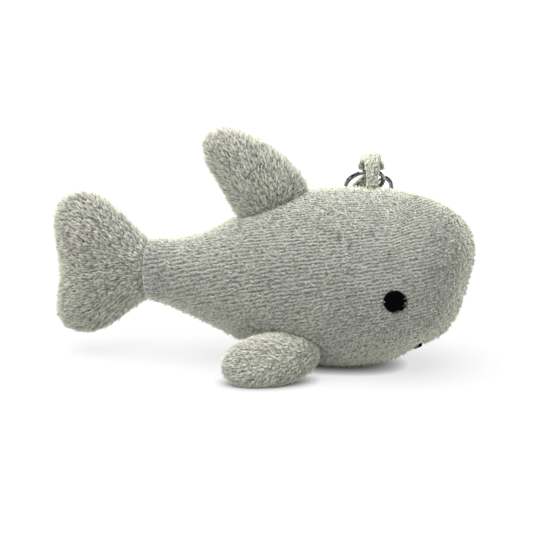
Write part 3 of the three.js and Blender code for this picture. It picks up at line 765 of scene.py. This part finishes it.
def stitched_patch(node, name, voxel):
    """A raised patch of satin stitches, rounded at its edge."""
    patch = stuffed_form(name, [node], None, THREAD, voxel, 6)
    points = points_of(patch.data) / MM
    thread = 0.5 + 0.5 * np.cos(points[:, 0] * 2 * math.pi / 0.42 + swell(points / 0.8, 5))
    points += normals_of(patch.data) * (thread * 0.09 + 0.1)[:, None]
    set_points(patch.data, points * MM)
    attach(patch, "shark")
    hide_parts(node)
    return patch


def over_eye(points, normal):
    """Pile beside an eye leans over its rim."""
    inward = np.array([EYE_PLACE[0], 0, EYE_PLACE[1]]) - points * np.array([1, 0, 1])
    return unit(inward - normal * (inward * normal).sum(axis=1)[:, None])


def off_the_rim(points):
    """False where a clump of pile pokes up through the stitches, here and there round the rim of an eye."""
    away = points[:, [0, 2]] - np.array(EYE_PLACE)
    turn = np.arctan2(away[:, 1], away[:, 0])
    clump = swell(np.stack([turn * 2.9, np.sign(points[:, 1])], axis=1), 4) > 0.1
    return ~((np.linalg.norm(away, axis=1) > EYE_RADIUS - 0.3) & clump)


for side in ("left", "right"):
    eye = stitched_patch(f"eye_{side}", f"eye_{side}_stitches", 0.28)
    rng = np.random.default_rng(91)
    roots, normal = skin_spots(eye.data, 420, rng)
    roots, normal = clear_of(roots, normal, off_the_rim(roots / MM))
    rim = grow(f"eye_{side}_rim_pile", roots, normal, over_eye(roots / MM, normal), RIM_PILE, rng, TUFTS)
    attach(rim, "shark")
stitched_patch("mouth_stitch", "mouth_stitches", 0.22)


# Loop and metal


def gathered(points):
    """The tape's hood spreads and rounds over at its fold, and its back leg is gathered under the ring."""
    x, y, z = points.T
    back = smoothstep(4.5, 7, y)
    width = np.interp(z, [46, 50.4, 53.6, 54.8, 58], [1.35, 1.25, 0.5, 1, 1])
    x = np.where(x < 30.5, 30.5 + (x - 30.5) * (1 + (width - 1) * back), x)
    front = smoothstep(4.5, 3, y) * smoothstep(56, 54, z)
    x = 30.8 + (x - 30.8) * (1 - 0.14 * front)
    x = x + 0.9 * smoothstep(30.5, 32.4, x) * smoothstep(54, 55, z) * smoothstep(1.5, 4, y)
    hem = smoothstep(30.3, 31.5, x) * smoothstep(6.4, 7.6, y)
    clear_of_ring = 33.1 - 0.8 * smoothstep(55.6, 57.2, z)
    x = np.minimum(x + 1.7 * hem * smoothstep(52.2, 53.2, z) * smoothstep(58, 56.5, z), clear_of_ring)
    z = z - 1.3 * np.clip(np.abs(x - 30.3) / 3.3, 0, 1.2) ** 2.5 * smoothstep(55.5, 58.5, z)
    return np.stack([x, y, z], axis=1)


def off_the_wire(points):
    """0 where the ring's wire lies on the tape and keeps its pile flat, and 1 on the rest."""
    away = points - np.array(RING_PIVOT)
    wire = np.array(RING_WIRE_WAY)
    return smoothstep(1.3, 2.1, np.linalg.norm(away - (away @ wire)[:, None] * wire, axis=1))


loop = stuffed_form("loop_knit", ["hanging_loop"], None, TAPE_CLOTH, 0.34, 5)
loop_points = gathered(points_of(loop.data) / MM)
set_points(loop.data, loop_points * MM)
stretched = loop_points / np.array([0.75, 0.75, 0.9]) + swell(loop_points / 1.6, 72)[:, None] * 0.7
unpressed = off_the_wire(loop_points)
# Where the wire keeps the pile flat, the nap is lower and the tape's colour darker, as painted shade.
tape_nap = loops(stretched, (0.95, 0.95, 0.95), 71) * (0.3 + 0.7 * unpressed)
raise_pile(loop, tape_nap, 0.45, 0.1 * unpressed - 0.2)
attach(loop, "shark")
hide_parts("hanging_loop")
rng = np.random.default_rng(81)
roots, normal = even_spots(loop, 9000, 0.6, rng)
by_raised_ring = (roots > np.array([31.8, 5, 56.6]) * MM).all(axis=1)
roots, normal = clear_of(roots, normal, by_raised_ring | (off_the_wire(roots / MM) < 0.5))
tape_lay = fan_lay((29, 5, 52), roots / MM, normal)
loop_pile = grow("loop_pile", roots, normal, tape_lay, TAPE_PILE, rng, TAPE_ENDS)
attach(loop_pile, "shark")

for node in ("loop_ring", "connecting_ring", "chain_link_1", "chain_link_2", "key_ring"):
    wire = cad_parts[node]
    wire.data.materials.clear()
    wire.data.materials.append(METAL)


# Stage


def studio_floor():
    """A floor that lights the shark as grey paper does, and that the camera and the metal see as white.

    What they see is darkened by a painted contact shadow, an ambient occlusion that dims its glow where the
    shark stands close above the floor, and by the real shadow of the softbox.
    """
    material, nodes, links, shader = new_material("white studio floor")
    nodes.remove(shader)
    output = nodes["Material Output"]
    matte = add_node(nodes, "ShaderNodeBsdfDiffuse", inputs={"Color": (0.6, 0.6, 0.6, 1)})
    pale = add_node(nodes, "ShaderNodeBsdfDiffuse", inputs={"Color": (0.175, 0.175, 0.175, 1)})
    glow = add_node(nodes, "ShaderNodeEmission", inputs={"Color": (1, 1, 1, 1)})
    # Painted contact shadow: ambient occlusion dims the floor's glow near the shark.
    painted_contact_shadow = add_node(nodes, "ShaderNodeAmbientOcclusion", {"samples": 8}, {"Distance": 0.0045})
    strength = add_node(nodes, "ShaderNodeMapRange", inputs={"To Min": 0, "To Max": 0.7})
    links.new(painted_contact_shadow.outputs["AO"], strength.inputs["Value"])
    links.new(strength.outputs["Result"], glow.inputs["Strength"])
    path = add_node(nodes, "ShaderNodeLightPath")
    shown = add_node(nodes, "ShaderNodeMath", {"operation": "MAXIMUM"})
    links.new(path.outputs["Is Camera Ray"], shown.inputs[0])
    links.new(path.outputs["Is Glossy Ray"], shown.inputs[1])
    seen = add_node(nodes, "ShaderNodeMath", {"operation": "MAXIMUM"})
    links.new(shown.outputs[0], seen.inputs[0])
    links.new(path.outputs["Is Transmission Ray"], seen.inputs[1])
    bright = add_node(nodes, "ShaderNodeAddShader")
    links.new(pale.outputs[0], bright.inputs[0])
    links.new(glow.outputs[0], bright.inputs[1])
    mix = add_node(nodes, "ShaderNodeMixShader")
    links.new(seen.outputs[0], mix.inputs[0])
    links.new(matte.outputs[0], mix.inputs[1])
    links.new(bright.outputs[0], mix.inputs[2])
    links.new(mix.outputs[0], output.inputs["Surface"])
    return material


def add_stage():
    """The floor, and a plain world that the camera and the metal see as white."""
    bm = bmesh.new()
    bmesh.ops.create_grid(bm, x_segments=1, y_segments=1, size=1.6)
    mesh = bpy.data.meshes.new("floor")
    bm.to_mesh(mesh)
    bm.free()
    floor = show("floor", mesh, studio_floor())
    world = bpy.data.worlds.new("studio")
    bpy.context.scene.world = world
    world.use_nodes = True
    nodes, links = world.node_tree.nodes, world.node_tree.links
    background = nodes["Background"]
    background.inputs["Color"].default_value = (1, 1, 1, 1)
    path = add_node(nodes, "ShaderNodeLightPath")
    seen = add_node(nodes, "ShaderNodeMath", {"operation": "MAXIMUM"})
    links.new(path.outputs["Is Camera Ray"], seen.inputs[0])
    links.new(path.outputs["Is Glossy Ray"], seen.inputs[1])
    strength = add_node(nodes, "ShaderNodeMapRange", inputs={"To Min": 0.72, "To Max": 1.0})
    links.new(seen.outputs[0], strength.inputs["Value"])
    links.new(strength.outputs["Result"], background.inputs["Strength"])


def add_dark_wall():
    """A dark wall round the studio that only the metal shows, in the place of a photographer's black cards."""
    radius, height, middle_z = 1.25, 0.75, 0.4
    bm = bmesh.new()
    bmesh.ops.create_cone(bm, cap_ends=False, segments=64, radius1=radius, radius2=radius, depth=height)
    bmesh.ops.translate(bm, verts=bm.verts, vec=(0, 0, middle_z))
    mesh = bpy.data.meshes.new("dark wall")
    bm.to_mesh(mesh)
    bm.free()
    material, nodes, links, shader = new_material("black felt")
    coordinates = add_node(nodes, "ShaderNodeTexCoord")
    felt = add_node(nodes, "ShaderNodeTexNoise", inputs={"Scale": 3, "Detail": 3})
    links.new(coordinates.outputs["Object"], felt.inputs["Vector"])
    colors = ramp(nodes, [(0.3, (0.01, 0.01, 0.01)), (0.7, (0.03, 0.03, 0.03))])
    links.new(felt.outputs["Fac"], colors.inputs["Fac"])
    links.new(colors.outputs["Color"], shader.inputs["Base Color"])
    wall = show("dark_wall", mesh, material)
    wall.visible_camera = wall.visible_diffuse = wall.visible_shadow = wall.visible_transmission = False


def add_softbox(name, place, target, size, power):
    """A broad soft lamp that faces its target."""
    light = bpy.data.lights.new(name, "AREA")
    light.shape = "RECTANGLE"
    light.size, light.size_y = size
    light.energy = power
    lamp = bpy.data.objects.new(name, light)
    lamp.location = place
    lamp.rotation_euler = (Vector(target) - Vector(place)).to_track_quat("-Z", "Y").to_euler()
    bpy.context.scene.collection.objects.link(lamp)


def add_camera():
    """The photograph's view: 9 degrees round to the nose and 15 degrees above the table."""
    turn, rise, distance = math.radians(9), math.radians(15), 0.52
    target = Vector((0.0014, 0, 0.0272))
    out = Vector((math.sin(turn) * math.cos(rise), -math.cos(turn) * math.cos(rise), math.sin(rise)))
    camera = bpy.data.objects.new("camera", bpy.data.cameras.new("camera"))
    camera.data.lens = 124.48
    camera.data.sensor_width = 36
    camera.data.clip_start = 0.01
    camera.location = target + out * distance
    camera.rotation_euler = (-out).to_track_quat("-Z", "Y").to_euler()
    bpy.context.scene.collection.objects.link(camera)
    bpy.context.scene.camera = camera


add_stage()
add_dark_wall()
add_softbox("overhead softbox", (-0.25, -0.15, 1.3), (0, 0, 0.02), (2.2, 2.2), 52)
add_camera()
bpy.context.scene.view_settings.view_transform = "Standard"
